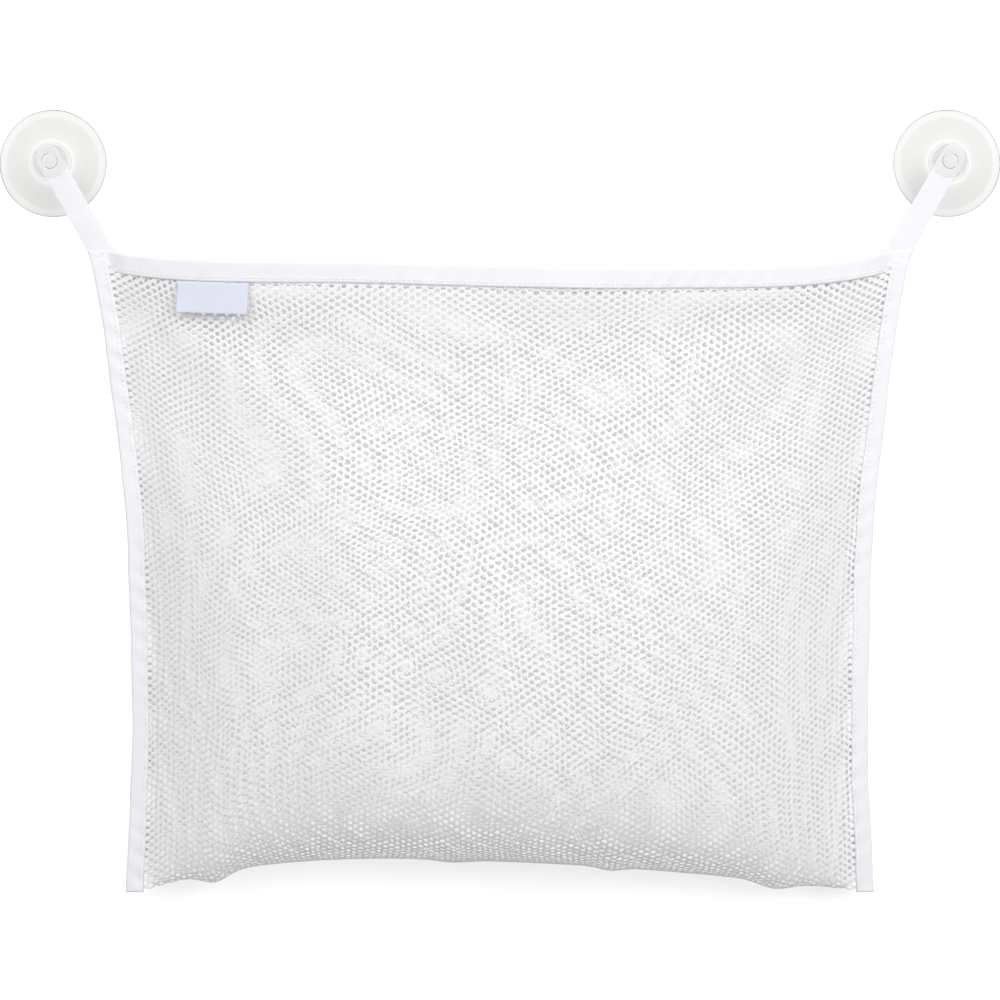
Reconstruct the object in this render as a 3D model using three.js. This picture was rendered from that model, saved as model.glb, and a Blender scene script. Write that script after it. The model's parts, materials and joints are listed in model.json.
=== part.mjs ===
// Bath toy organizer: a net bag bound in tape, hung on a wall by two clear suction cups.
// Millimetres. +X is to the right as seen from the room, -Y points away from the wall, +Z is up.
// The origin is on the wall, midway between the cups, at the height of their axes.
import * as THREE from "three";

// Suction cups, each set outside the corner of the bag below it
const CUP_OUTSET = 22;
const CUP_DIAMETER = 60;
const LIP_WIDTH = 7;
const RIM_THICKNESS = 1.4;
const HOLLOW_DEPTH = 4.5;
const DOME_RISE = 6;
const BOSS_DIAMETER = 23;
const BOSS_RISE = 4.6;
const NECK_DIAMETER = 8;
const HEAD_DIAMETER = 19;
const HEAD_EDGE = 1.4;
const HEAD_CROWN = 4.2;

// Straps between the cups and the corners of the bag
const STRAP_WIDTH = 13;
const STRAP_THICKNESS = 1.4;
const STRAP_DROP = 50;
const STRAP_TAIL = 14;
const EYE_RIM = 2.2;
const FOLD_BELOW_HEAD = 3.5;

// Bag outline, seen from the front
const TOP_WIDTH = 456;
const WAIST_WIDTH = 409;
const WAIST_DROP = 245;
const BOTTOM_WIDTH = 415;
const SIDE_HEIGHT = 356;
const HEM_SAG = 8;
const FOLD_RISE = 18;
const RIPPLE_COUNT = 5;
const RIPPLE_SHIFT = 0.12;
const RIPPLE_DROP = 3;

// Bag depth, measured out from the plane of the side seams
const MOUTH_BOW = 30;
const BELLY_DEPTH = 70;
const BELLY_DROP = 225;
const BOTTOM_ROUND = 52;
const RIPPLE_DEPTH = 4;
const BACK_BELLY = 7;

// Net, tape and thread
const NET_THICKNESS = 0.6;
const NET_EDGE_MARGIN = 2;
const TAPE_THICKNESS = 0.6;
const SIDE_TAPE_WIDTH = 9.5;
const HEM_WIDTH = 11;
const THREAD_DIAMETER = 0.6;
const STITCH_INSET = 2.2;
const TACK_HEIGHT = 2.4;
const TACK_MARGIN = 1.5;

// Label, set in from the left corner of the bag
const LABEL_WIDTH = 41;
const LABEL_HEIGHT = 18;
const LABEL_THICKNESS = 0.8;
const LABEL_INSET = 70;
const LABEL_TILT = 3;

// Clearances
const PIECE_GAP = 0.3;
const SLOT_CLEARANCE = 0.25;
const NECK_CLEARANCE = 0.35;
const THREAD_GAP = 0.1;

// Smoothness
const CUP_SEGMENTS = 36;
const CURVE_STEPS = 5;
const NET_COLUMNS = 24;
const FRONT_ROWS = 12;
const BACK_ROWS = 8;
const SIDE_STEPS = 16;

// Powers of the curves that fade towards the side tapes
const FULLNESS = 2.6;
const CORNER_SHARPNESS = 6;
const RIPPLE_FADE = 4;

// Values that follow from the sizes above
const cupX = TOP_WIDTH / 2 + CUP_OUTSET;
const neckRadius = NECK_DIAMETER / 2;
const eyeHoleRadius = neckRadius + NECK_CLEARANCE;
const eyeRadius = eyeHoleRadius + EYE_RIM;
const bossFront = -(RIM_THICKNESS + DOME_RISE + BOSS_RISE);
const strapBack = bossFront - PIECE_GAP;
const strapFront = strapBack - STRAP_THICKNESS;
const headBack = strapFront - PIECE_GAP;
const seamPlane = (strapBack + strapFront) / 2;
const foldHeight = -(HEAD_DIAMETER / 2 + FOLD_BELOW_HEAD);
const cornerHeight = -STRAP_DROP;
const sideBottom = cornerHeight - SIDE_HEIGHT;
const hemThickness = NET_THICKNESS + 2 * SLOT_CLEARANCE + 2 * TAPE_THICKNESS;
const strapLayer = STRAP_THICKNESS + NET_THICKNESS + 2 * SLOT_CLEARANCE;
const layerOffset = Math.max(hemThickness + PIECE_GAP, strapLayer) / 2;
const foldOffset = (NET_THICKNESS + PIECE_GAP) / 2;
const sideSlot = 2 * layerOffset + NET_THICKNESS + 2 * SLOT_CLEARANCE;
const sideThickness = sideSlot + 2 * TAPE_THICKNESS;

// Materials
const clearVinyl = () => new THREE.MeshStandardMaterial({ color: "#e9edf0", roughness: 0.1 });
const whiteNet = () => new THREE.MeshStandardMaterial({ color: "#f2f2f5", roughness: 0.9 });
const whiteTape = () => new THREE.MeshStandardMaterial({ color: "#f6f6fa", roughness: 0.85 });
const whiteThread = () => new THREE.MeshStandardMaterial({ color: "#fafafc", roughness: 0.7 });
const blueLabel = () => new THREE.MeshStandardMaterial({ color: "#dee4f3", roughness: 0.6 });

const organizer = new THREE.Group();

function addPiece(name, geometry, material) {
  const mesh = new THREE.Mesh(geometry, material);
  mesh.name = name;
  organizer.add(mesh);
  return mesh;
}

// A closed surface from points and triangles, turned so that its faces point out.
function closedSurface(points, triangles) {
  let volume = 0;
  for (const [a, b, c] of triangles) {
    volume += points[a].dot(new THREE.Vector3().crossVectors(points[b], points[c]));
  }
  const outward = volume > 0 ? triangles : triangles.map(([a, b, c]) => [a, c, b]);
  const geometry = new THREE.BufferGeometry().setFromPoints(points);
  geometry.setIndex(outward.flat());
  geometry.computeVertexNormals();
  return geometry;
}

// A flat section swept through a row of stations, with closed ends.
function sweep(section, stations, place) {
  const points = stations.flatMap((station) => section.map((corner) => place(station, corner)));
  const count = section.length;
  const triangles = [];
  for (let i = 0; i + 1 < stations.length; i += 1) {
    for (let j = 0; j < count; j += 1) {
      const a = i * count + j;
      const b = i * count + (j + 1) % count;
      triangles.push([a, b, b + count], [a, b + count, a + count]);
    }
  }
  const last = (stations.length - 1) * count;
  for (const [a, b, c] of THREE.ShapeUtils.triangulateShape(section, [])) {
    triangles.push([a, c, b], [last + a, last + b, last + c]);
  }
  return closedSurface(points, triangles);
}

const corner2 = (x, y) => new THREE.Vector2(x, y);

// A tape folded over an edge: x runs through its thickness, y runs back from the fold.
function foldedTape(thickness, width) {
  const outside = thickness / 2;
  const inside = outside - TAPE_THICKNESS;
  return [
    corner2(-outside, 0),
    corner2(outside, 0),
    corner2(outside, width),
    corner2(inside, width),
    corner2(inside, TAPE_THICKNESS),
    corner2(-inside, TAPE_THICKNESS),
    corner2(-inside, width),
    corner2(-outside, width),
  ];
}

// A thread lying on a face, as a diamond section.
const threadSection = [
  corner2(-THREAD_DIAMETER / 2, 0),
  corner2(0, -THREAD_DIAMETER / 2),
  corner2(THREAD_DIAMETER / 2, 0),
  corner2(0, THREAD_DIAMETER / 2),
];

// Outline of the bag: half its width at a height, and the heights of its top and bottom edges.
function halfWidth(z) {
  const below = cornerHeight - z;
  if (below < WAIST_DROP) {
    const share = 1 - below / WAIST_DROP;
    return (WAIST_WIDTH + (TOP_WIDTH - WAIST_WIDTH) * share ** 2) / 2;
  }
  const share = (below - WAIST_DROP) / (SIDE_HEIGHT - WAIST_DROP);
  return (WAIST_WIDTH + (BOTTOM_WIDTH - WAIST_WIDTH) * share ** 2) / 2;
}

const netHalfWidth = (z) => halfWidth(z) - SIDE_TAPE_WIDTH;
const fade = (across, sharpness) => 1 - Math.min(1, Math.abs(across)) ** sharpness;
const wave = (across) => Math.cos(Math.PI * (RIPPLE_COUNT * across + RIPPLE_SHIFT));
const ripple = (across) => wave(across) * fade(across, RIPPLE_FADE);
const topEdge = (across) => cornerHeight - HEM_SAG * fade(across, CORNER_SHARPNESS);

function bottomEdge(across) {
  const lowest = sideBottom + TAPE_THICKNESS;
  return lowest + FOLD_RISE * fade(across, FULLNESS) - RIPPLE_DROP * ripple(across);
}

// Profiles of the front and back of the bag through its middle: depth against drop below the hem.
const middleDrop = topEdge(0) - bottomEdge(0) - HEM_WIDTH;
const frontProfile = new THREE.CurvePath();
frontProfile.add(
  new THREE.CubicBezierCurve(
    corner2(MOUTH_BOW, 0),
    corner2(MOUTH_BOW, BELLY_DROP / 2),
    corner2(BELLY_DEPTH, BELLY_DROP / 2),
    corner2(BELLY_DEPTH, BELLY_DROP),
  ),
);
frontProfile.add(
  new THREE.CubicBezierCurve(
    corner2(BELLY_DEPTH, BELLY_DROP),
    corner2(BELLY_DEPTH, (BELLY_DROP + 2 * middleDrop) / 3),
    corner2(BOTTOM_ROUND, middleDrop),
    corner2(0, middleDrop),
  ),
);
const backProfile = new THREE.CubicBezierCurve(
  corner2(0, middleDrop),
  corner2(-BACK_BELLY, middleDrop),
  corner2(-BACK_BELLY, BELLY_DROP / 2),
  corner2(0, 0),
);

// A point of the bag's middle surface: across runs from -1 to 1 between the side tapes, depth is how
// far the middle of that row stands out, and layer sets the front and back apart inside the tapes.
function bagPoint(across, z, depth, layer) {
  const y = seamPlane - layer - depth * fade(across, FULLNESS);
  return new THREE.Vector3(across * netHalfWidth(z), y, z);
}

// One row of the net, with its two ends inside the side tapes.
const acrossStations = Array.from({ length: NET_COLUMNS + 1 }, (_, j) => (2 * j) / NET_COLUMNS - 1);
const netInset = TAPE_THICKNESS + NET_EDGE_MARGIN;

function netRow(heightAt, depthAt, layer) {
  const row = acrossStations.map((across) => {
    return bagPoint(across, heightAt(across), depthAt(across), layer);
  });
  const [left, right] = [-1, 1].map((side) => {
    const z = heightAt(side);
    return new THREE.Vector3(side * (halfWidth(z) - netInset), seamPlane - layer, z);
  });
  return [left, ...row, right];
}

// A row of the net at the top, inside the hem.
function hemRow(depth, layer) {
  return netRow((across) => topEdge(across) - netInset, () => depth, layer);
}

// A row of the net through a point of a profile, swollen by its ripples.
function profileRow(point, layer, swell) {
  const heightAt = (across) => {
    const hemBottom = topEdge(across) - HEM_WIDTH;
    return THREE.MathUtils.lerp(hemBottom, bottomEdge(across), point.y / middleDrop);
  };
  return netRow(heightAt, (across) => point.x + swell * ripple(across), layer);
}

// The front of the net from its hem down to the fold, and the back from the fold up to its hem.
function frontRows() {
  const rows = [hemRow(MOUTH_BOW, layerOffset)];
  for (let i = 0; i < FRONT_ROWS; i += 1) {
    const share = i / FRONT_ROWS;
    const swell = RIPPLE_DEPTH * Math.sin(Math.PI * share) * share;
    rows.push(profileRow(frontProfile.getPoint(share), layerOffset, swell));
  }
  rows.push(profileRow(frontProfile.getPoint(1), foldOffset, 0));
  return rows;
}

function backRows() {
  const rows = [profileRow(backProfile.getPointAt(0), -foldOffset, 0)];
  for (let i = 1; i <= BACK_ROWS; i += 1) {
    rows.push(profileRow(backProfile.getPointAt(i / BACK_ROWS), -layerOffset, 0));
  }
  rows.push(hemRow(0, -layerOffset));
  return rows;
}

// A sheet of even thickness around rows of points.
function sheet(rows, thickness) {
  const height = rows.length;
  const width = rows[0].length;
  const within = (index, count) => THREE.MathUtils.clamp(index, 0, count - 1);
  const at = (i, j) => rows[within(i, height)][within(j, width)];
  const faces = [[], []];
  for (let i = 0; i < height; i += 1) {
    for (let j = 0; j < width; j += 1) {
      const down = at(i + 1, j).clone().sub(at(i - 1, j));
      const along = at(i, j + 1).clone().sub(at(i, j - 1));
      const offset = down.cross(along).setLength(thickness / 2);
      faces[0].push(at(i, j).clone().add(offset));
      faces[1].push(at(i, j).clone().sub(offset));
    }
  }
  const points = faces.flat();
  const inner = height * width;
  const triangles = [];
  const quad = (a, b, c, d) => triangles.push([a, b, c], [a, c, d]);
  for (let i = 0; i + 1 < height; i += 1) {
    for (let j = 0; j + 1 < width; j += 1) {
      const a = i * width + j;
      quad(a, a + width, a + width + 1, a + 1);
      quad(inner + a, inner + a + 1, inner + a + width + 1, inner + a + width);
    }
  }
  const rim = [];
  for (let j = 0; j < width; j += 1) rim.push(j);
  for (let i = 1; i < height; i += 1) rim.push(i * width + width - 1);
  for (let j = width - 2; j >= 0; j -= 1) rim.push((height - 1) * width + j);
  for (let i = height - 2; i > 0; i -= 1) rim.push(i * width);
  rim.forEach((a, k) => {
    const b = rim[(k + 1) % rim.length];
    quad(a, b, inner + b, inner + a);
  });
  return closedSurface(points, triangles);
}

// Suction cups: a soft dome with a flat sealing lip, a boss, a neck and a button head.
function suctionCup() {
  const radius = CUP_DIAMETER / 2;
  const lipRadius = radius - LIP_WIDTH;
  const bossRadius = BOSS_DIAMETER / 2;
  const domeFront = -(RIM_THICKNESS + DOME_RISE);
  const headRadius = HEAD_DIAMETER / 2;
  const headFront = headBack - HEAD_EDGE;
  const profile = new THREE.Path();
  profile.moveTo(0, -HOLLOW_DEPTH);
  profile.quadraticCurveTo(lipRadius / 2, -HOLLOW_DEPTH, lipRadius, 0);
  profile.lineTo(radius, 0);
  profile.lineTo(radius, -RIM_THICKNESS);
  profile.quadraticCurveTo((radius + bossRadius) / 2, domeFront, bossRadius, domeFront);
  profile.quadraticCurveTo(bossRadius, bossFront, neckRadius, bossFront);
  profile.lineTo(neckRadius, headBack);
  profile.lineTo(headRadius, headBack);
  profile.lineTo(headRadius, headFront);
  profile.quadraticCurveTo(headRadius, headFront - HEAD_CROWN, 0, headFront - HEAD_CROWN);
  return new THREE.LatheGeometry(profile.getPoints(CURVE_STEPS).reverse(), CUP_SEGMENTS);
}

// Straps: a tape from the eye on the cup's neck to the corner, where its tail runs into the side tape.
const eyeCentre = corner2(cupX, 0);
const strapEnd = corner2((TOP_WIDTH - STRAP_WIDTH) / 2, cornerHeight);
const strapAxis = strapEnd.clone().sub(eyeCentre).normalize();
const strapAcross = corner2(-strapAxis.y, strapAxis.x);
const eyeEdge = (edge) => eyeCentre.clone().addScaledVector(strapAcross, edge * eyeRadius);
const endEdge = (edge) => strapEnd.clone().addScaledVector(strapAcross, (edge * STRAP_WIDTH) / 2);

function strapEdgeAt(edge, z) {
  const from = eyeEdge(edge);
  const to = endEdge(edge);
  return corner2(THREE.MathUtils.mapLinear(z, from.y, to.y, from.x, to.x), z);
}

function eyeOutline() {
  const cut = foldHeight + PIECE_GAP / 2;
  const turn = strapAcross.angle();
  const outline = new THREE.Shape();
  outline.moveTo(strapEdgeAt(1, cut).x, cut);
  outline.absarc(eyeCentre.x, eyeCentre.y, eyeRadius, turn, turn + Math.PI, false);
  outline.lineTo(strapEdgeAt(-1, cut).x, cut);
  const hole = new THREE.Path();
  hole.absarc(eyeCentre.x, eyeCentre.y, eyeHoleRadius, 0, 2 * Math.PI, true);
  outline.holes.push(hole);
  return outline;
}

function strapOutline() {
  const cut = foldHeight - PIECE_GAP / 2;
  const mouth = cornerHeight + PIECE_GAP;
  const tailEnd = cornerHeight - STRAP_TAIL;
  const tailOuter = (z) => halfWidth(z) - TAPE_THICKNESS - SLOT_CLEARANCE;
  return new THREE.Shape([
    strapEdgeAt(1, cut),
    strapEdgeAt(-1, cut),
    strapEdgeAt(-1, mouth),
    corner2(netHalfWidth(mouth), mouth),
    corner2(netHalfWidth(tailEnd), tailEnd),
    corner2(tailOuter(tailEnd), tailEnd),
    corner2(tailOuter(mouth), mouth),
    strapEdgeAt(1, mouth),
  ]);
}

// A flat outline in the plane of the strap, made as thick as the strap and set on one side of the bag.
function strapSolid(outline, side) {
  const settings = { depth: STRAP_THICKNESS, bevelEnabled: false, curveSegments: 2 * CURVE_STEPS };
  const flat = new THREE.ExtrudeGeometry(outline, settings);
  flat.rotateX(Math.PI / 2);
  flat.translate(0, strapBack, 0);
  if (side < 0) flat.rotateZ(Math.PI).translate(0, strapBack + strapFront, 0);
  return flat;
}

// A bar of zigzag stitches on a face, across a range of x.
function barTack(fromX, toX, z, face, outward) {
  const length = Math.abs(toX - fromX);
  const bar = new THREE.BoxGeometry(length, THREAD_DIAMETER, TACK_HEIGHT);
  bar.translate((fromX + toX) / 2, face + outward * (THREAD_DIAMETER / 2 + THREAD_GAP), z);
  return bar;
}

const sides = [
  ["left", -1],
  ["right", 1],
];

const sideStations = Array.from({ length: SIDE_STEPS + 1 }, (_, i) => {
  return THREE.MathUtils.lerp(cornerHeight, sideBottom, i / SIDE_STEPS);
});

for (const [name, side] of sides) {
  addPiece(`${name}_suction_cup`, suctionCup(), clearVinyl()).position.x = side * cupX;
  addPiece(`${name}_strap_eye`, strapSolid(eyeOutline(), side), whiteTape());
  addPiece(`${name}_strap`, strapSolid(strapOutline(), side), whiteTape());

  const eyeTackHeight = foldHeight - TACK_MARGIN - TACK_HEIGHT;
  const eyeTackFrom = strapEdgeAt(1, eyeTackHeight).x - TACK_MARGIN;
  const eyeTackTo = strapEdgeAt(-1, eyeTackHeight).x + TACK_MARGIN;
  const eyeTack = barTack(side * eyeTackFrom, side * eyeTackTo, eyeTackHeight, strapFront, -1);
  addPiece(`${name}_eye_tack`, eyeTack, whiteThread());

  const sideSection = foldedTape(sideThickness, SIDE_TAPE_WIDTH);
  const sideTape = sweep(sideSection, sideStations, (z, point) => {
    return new THREE.Vector3(side * (halfWidth(z) - point.y), seamPlane + point.x, z);
  });
  addPiece(`${name}_side_tape`, sideTape, whiteTape());

  const threadOut = sideThickness / 2 + THREAD_DIAMETER / 2 + THREAD_GAP;
  for (const [face, outward] of [["front", -1], ["back", 1]]) {
    const thread = sweep(threadSection, sideStations, (z, point) => {
      const x = halfWidth(z) - SIDE_TAPE_WIDTH + STITCH_INSET + point.x;
      return new THREE.Vector3(side * x, seamPlane + outward * threadOut + point.y, z);
    });
    addPiece(`${name}_side_${face}_thread`, thread, whiteThread());
  }

  const cornerTackHeight = cornerHeight - TACK_MARGIN - TACK_HEIGHT / 2;
  const cornerTackFrom = halfWidth(cornerTackHeight) - TACK_MARGIN;
  const cornerTackTo = netHalfWidth(cornerTackHeight) + STITCH_INSET + THREAD_DIAMETER;
  const tackFace = seamPlane - sideThickness / 2;
  const cornerTack = barTack(side * cornerTackFrom, side * cornerTackTo, cornerTackHeight, tackFace, -1);
  addPiece(`${name}_corner_tack`, cornerTack, whiteThread());
}

addPiece("front_net", sheet(frontRows(), NET_THICKNESS), whiteNet());
addPiece("back_net", sheet(backRows(), NET_THICKNESS), whiteNet());

// Hems: a tape folded over the top edge of the front and of the back.
const hemLimit = (z) => 1 - PIECE_GAP / netHalfWidth(z);

function hemPoint(across, drop, through, bow, layer) {
  const z = topEdge(across) - drop;
  const limit = hemLimit(z);
  const held = THREE.MathUtils.clamp(across, -limit, limit);
  const middle = bagPoint(held, z, bow, layer);
  const step = 1 / NET_COLUMNS;
  const before = bagPoint(held - step, z, bow, layer);
  const after = bagPoint(held + step, z, bow, layer);
  const along = after.sub(before);
  const outward = new THREE.Vector3(along.y, -along.x, 0).normalize();
  return middle.addScaledVector(outward, through);
}

for (const [name, layer, bow] of [["front", layerOffset, MOUTH_BOW], ["back", -layerOffset, 0]]) {
  const hem = sweep(foldedTape(hemThickness, HEM_WIDTH), acrossStations, (across, point) => {
    return hemPoint(across, point.y, point.x, bow, layer);
  });
  addPiece(`${name}_hem`, hem, whiteTape());
  const threadOut = hemThickness / 2 + THREAD_DIAMETER / 2 + THREAD_GAP;
  const outward = Math.sign(layer);
  const faces = [["outer", outward, acrossStations], ["inner", -outward, acrossStations.slice(1, -1)]];
  for (const [face, direction, stations] of faces) {
    const thread = sweep(threadSection, stations, (across, point) => {
      const through = direction * threadOut + point.y;
      return hemPoint(across, HEM_WIDTH - STITCH_INSET + point.x, through, bow, layer);
    });
    addPiece(`${name}_hem_${face}_thread`, thread, whiteThread());
  }
}

// Label: a blank tag caught under the front hem, hanging in front of the net.
const labelDrop = HEM_WIDTH + PIECE_GAP;
const labelAcross = (x) => x / netHalfWidth(cornerHeight - labelDrop);
const labelProud = hemThickness / 2 + PIECE_GAP;
const labelEnd = (x) => hemPoint(labelAcross(x), labelDrop, labelProud, MOUTH_BOW, layerOffset);
const labelX = LABEL_INSET - TOP_WIDTH / 2;
const labelFrom = labelEnd(labelX - LABEL_WIDTH / 2);
const labelTo = labelEnd(labelX + LABEL_WIDTH / 2);
const labelMiddle = labelEnd(labelX);
const labelAlong = labelTo.clone().sub(labelFrom).normalize();
const labelBack = new THREE.Vector3(0, 0, 1).cross(labelAlong).normalize();
const labelUp = new THREE.Vector3().crossVectors(labelAlong, labelBack);
const labelGeometry = new THREE.BoxGeometry(LABEL_WIDTH, LABEL_THICKNESS, LABEL_HEIGHT);
labelGeometry.translate(0, -LABEL_THICKNESS / 2, -LABEL_HEIGHT / 2);
labelGeometry.rotateX(-THREE.MathUtils.degToRad(LABEL_TILT));
const label = addPiece("label", labelGeometry, blueLabel());
label.quaternion.setFromRotationMatrix(new THREE.Matrix4().makeBasis(labelAlong, labelBack, labelUp));
label.position.copy(labelMiddle);

export default organizer;
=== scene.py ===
import json
import math

import bpy
import numpy as np
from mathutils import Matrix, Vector


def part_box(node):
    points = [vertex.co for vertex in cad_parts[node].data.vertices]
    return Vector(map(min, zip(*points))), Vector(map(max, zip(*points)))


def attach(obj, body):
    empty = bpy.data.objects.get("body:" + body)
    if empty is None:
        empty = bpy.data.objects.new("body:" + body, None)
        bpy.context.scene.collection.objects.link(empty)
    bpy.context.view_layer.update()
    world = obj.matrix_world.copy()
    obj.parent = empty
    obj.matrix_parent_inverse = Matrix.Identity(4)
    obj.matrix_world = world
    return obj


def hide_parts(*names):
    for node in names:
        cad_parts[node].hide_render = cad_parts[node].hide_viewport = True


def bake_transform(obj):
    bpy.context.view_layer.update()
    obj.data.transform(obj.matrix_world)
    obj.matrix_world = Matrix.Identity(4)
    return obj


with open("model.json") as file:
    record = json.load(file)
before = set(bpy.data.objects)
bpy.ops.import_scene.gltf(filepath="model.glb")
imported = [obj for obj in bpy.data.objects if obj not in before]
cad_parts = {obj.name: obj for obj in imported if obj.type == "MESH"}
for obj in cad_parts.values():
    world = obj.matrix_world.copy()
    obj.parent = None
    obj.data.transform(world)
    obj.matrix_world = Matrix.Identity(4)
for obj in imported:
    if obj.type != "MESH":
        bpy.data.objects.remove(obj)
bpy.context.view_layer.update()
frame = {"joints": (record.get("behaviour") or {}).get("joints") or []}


# The net. White knitted polyester with six-sided holes, cut as one sheet and folded at the bottom
# to make the front and the back. Its two sides go into the side tapes and its ends into the hems.
tape_low, tape_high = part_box("right_side_tape")
TOP_WIDTH = 2 * tape_high.x
CORNER_HEIGHT = tape_high.z
SIDE_BOTTOM = tape_low.z
SIDE_HEIGHT = CORNER_HEIGHT - SIDE_BOTTOM
SEAM_PLANE = (tape_low.y + tape_high.y) / 2
WAIST_WIDTH = 0.409
WAIST_DROP = 0.245
BOTTOM_WIDTH = 0.415
HEM_SAG = 0.008
HEM_DIP = 0.0034
HEM_DIP_SPAN = (-0.62, 0.3)
CORNER_SHARPNESS = 6
FOLD_RISE = 0.0172
FOLD_TILT = 0.008
# Place across the bag, width and drop of each low point of the fold.
LOW_POINTS = ((-0.80, 0.05, 0.0055), (-0.13, 0.06, 0.0015), (0.31, 0.04, 0.002), (0.77, 0.06, 0.004))
RIPPLE_COUNT = 5
RIPPLE_SHIFT = 0.12
RIPPLE_FADE = 4
RIPPLE_DEPTH = 0.004
SLACK_DEPTH = 0.0018
SLACK_REACH = 0.09
SLACK_FOLDS = 9
MOUTH_BOW = 0.030
BELLY_DEPTH = 0.070
BELLY_DROP = 0.225
BOTTOM_ROUND = 0.052
BACK_BELLY = 0.007
FULLNESS = 2.6
SIDE_TAPE_WIDTH = 0.0095
HEM_WIDTH = 0.0114
TAPE_THICKNESS = 0.0006
LAYER_AT_CORNER = 0.0013
LAYER_BELOW = 0.0006
LAYER_SPAN = (0.045, 0.015)
NET_TUCK = 0.005
CELL_WIDTH = 0.00328
CELL_HEIGHT = 0.0039
HOLE_WIDTH = 0.0032
HOLE_HEIGHT = 0.0023
STRAND_THICKNESS = 0.00045
SLOW_PULL = 0.8
FINE_PULL = 0.07
FORM_STEPS = 160
NET_CREASE = 70
YARN_DARK = (0.89, 0.89, 0.89)
YARN_LIGHT = (0.95, 0.95, 0.95)


def smooth_step(value, low, high):
    share = np.clip((value - low) / (high - low), 0, 1)
    return share * share * (3 - 2 * share)


def fade(across, power):
    return 1 - np.minimum(1, np.abs(across)) ** power


def ripple(across):
    return np.cos(np.pi * (RIPPLE_COUNT * across + RIPPLE_SHIFT)) * fade(across, RIPPLE_FADE)


def half_width(z):
    below = CORNER_HEIGHT - z
    upper = (TOP_WIDTH - WAIST_WIDTH) * (1 - below / WAIST_DROP) ** 2
    lower = (BOTTOM_WIDTH - WAIST_WIDTH) * ((below - WAIST_DROP) / (SIDE_HEIGHT - WAIST_DROP)) ** 2
    return (WAIST_WIDTH + np.where(below < WAIST_DROP, upper, lower)) / 2


def net_half_width(z):
    return half_width(z) - SIDE_TAPE_WIDTH


def top_edge(across):
    """The height of the hem, which sags between the corners and a little more right of the label."""
    sag = HEM_SAG + HEM_DIP * smooth_step(across, *HEM_DIP_SPAN)
    return CORNER_HEIGHT - sag * fade(across, CORNER_SHARPNESS)


def bottom_edge(across):
    """The height of the fold, which hangs lower on the right and at a few points of its own."""
    rise = (FOLD_RISE - FOLD_TILT * across) * fade(across, FULLNESS)
    for place, width, drop in LOW_POINTS:
        rise = rise - drop * np.exp(-(((across - place) / width) ** 2))
    return SIDE_BOTTOM + TAPE_THICKNESS + rise


def slack(across, share):
    """Soft folds that fan out below the two top corners, between about -1 and 1."""
    inward = (1 - np.abs(across)) * TOP_WIDTH / 2
    down = share * SIDE_HEIGHT
    reach = np.hypot(inward, down) / SLACK_REACH
    fan = np.cos(SLACK_FOLDS * np.arctan2(down, inward) + 0.7 + 0.9 * np.sign(across))
    return fan * reach * np.exp(1 - reach) * smooth_step(share, 0, 0.1)


def near_corner(z, far, near):
    """0 at heights further than far below the top corners, rising to 1 where only near is left."""
    return smooth_step(z, CORNER_HEIGHT - far, CORNER_HEIGHT - near)


def layer_offset(z):
    """How far the middle of each net lies from the seam plane at its sides."""
    return LAYER_BELOW + (LAYER_AT_CORNER - LAYER_BELOW) * near_corner(z, *LAYER_SPAN)


def curve(start, start_pull, end_pull, end):
    t = np.linspace(0, 1, FORM_STEPS)[:, None]
    points = [np.array(point) for point in (start, start_pull, end_pull, end)]
    shares = [(1 - t) ** 3, 3 * (1 - t) ** 2 * t, 3 * (1 - t) * t**2, t**3]
    return sum(share * point for share, point in zip(shares, points))


# Depth and drop of the bag's middle line, below the front hem, round the fold and up the back.
middle_drop = top_edge(0) - bottom_edge(0) - HEM_WIDTH
front_line = np.vstack([
    [(MOUTH_BOW, -NET_TUCK)],
    curve(
        (MOUTH_BOW, 0),
        (MOUTH_BOW, BELLY_DROP / 2),
        (BELLY_DEPTH, BELLY_DROP / 2),
        (BELLY_DEPTH, BELLY_DROP),
    ),
    curve(
        (BELLY_DEPTH, BELLY_DROP),
        (BELLY_DEPTH, (BELLY_DROP + 2 * middle_drop) / 3),
        (BOTTOM_ROUND, middle_drop),
        (0, middle_drop),
    )[1:],
])
back_line = np.vstack([
    curve((0, middle_drop), (-BACK_BELLY, middle_drop), (-BACK_BELLY, BELLY_DROP / 2), (0, 0)),
    [(0, -NET_TUCK)],
])


def panel(line, side, swell, loose):
    """The surface of the front (side 1) or back (side -1), as rows of points from one hem to the fold."""
    reach = 1 + NET_TUCK / net_half_width(CORNER_HEIGHT)
    across = np.linspace(-reach, reach, FORM_STEPS)
    depth, drop = line[:, :1], line[:, 1:]
    share = drop / middle_drop
    hem_bottom = top_edge(across) - HEM_WIDTH
    z = hem_bottom + (bottom_edge(across) - hem_bottom) * share
    stands_out = depth + swell * np.sin(np.pi * share) * share * ripple(across)
    stands_out = stands_out + loose * slack(across, np.clip(share, 0, 1))
    layer = side * layer_offset(z) * (1 - smooth_step(share, 0.93, 1))
    y = SEAM_PLANE - layer - stands_out * fade(across, FULLNESS)
    return np.stack([across * net_half_width(z), y, z], axis=2)


def spread_evenly(points, count):
    """The same columns of points again, with count points in each at even distances."""
    steps = np.linalg.norm(np.diff(points, axis=0), axis=2)
    along = np.vstack([np.zeros(points.shape[1]), np.cumsum(steps, axis=0)])
    columns = []
    for j in range(points.shape[1]):
        at = np.linspace(0, along[-1, j], count)
        columns.append([np.interp(at, along[:, j], points[:, j, k]) for k in range(3)])
    return np.array(columns).transpose(2, 0, 1)


def row_length(points):
    return np.linalg.norm(np.diff(points, axis=1), axis=2).sum(axis=1).mean()


def column_length(points):
    return np.linalg.norm(np.diff(points, axis=0), axis=2).sum(axis=0).mean()


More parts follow.
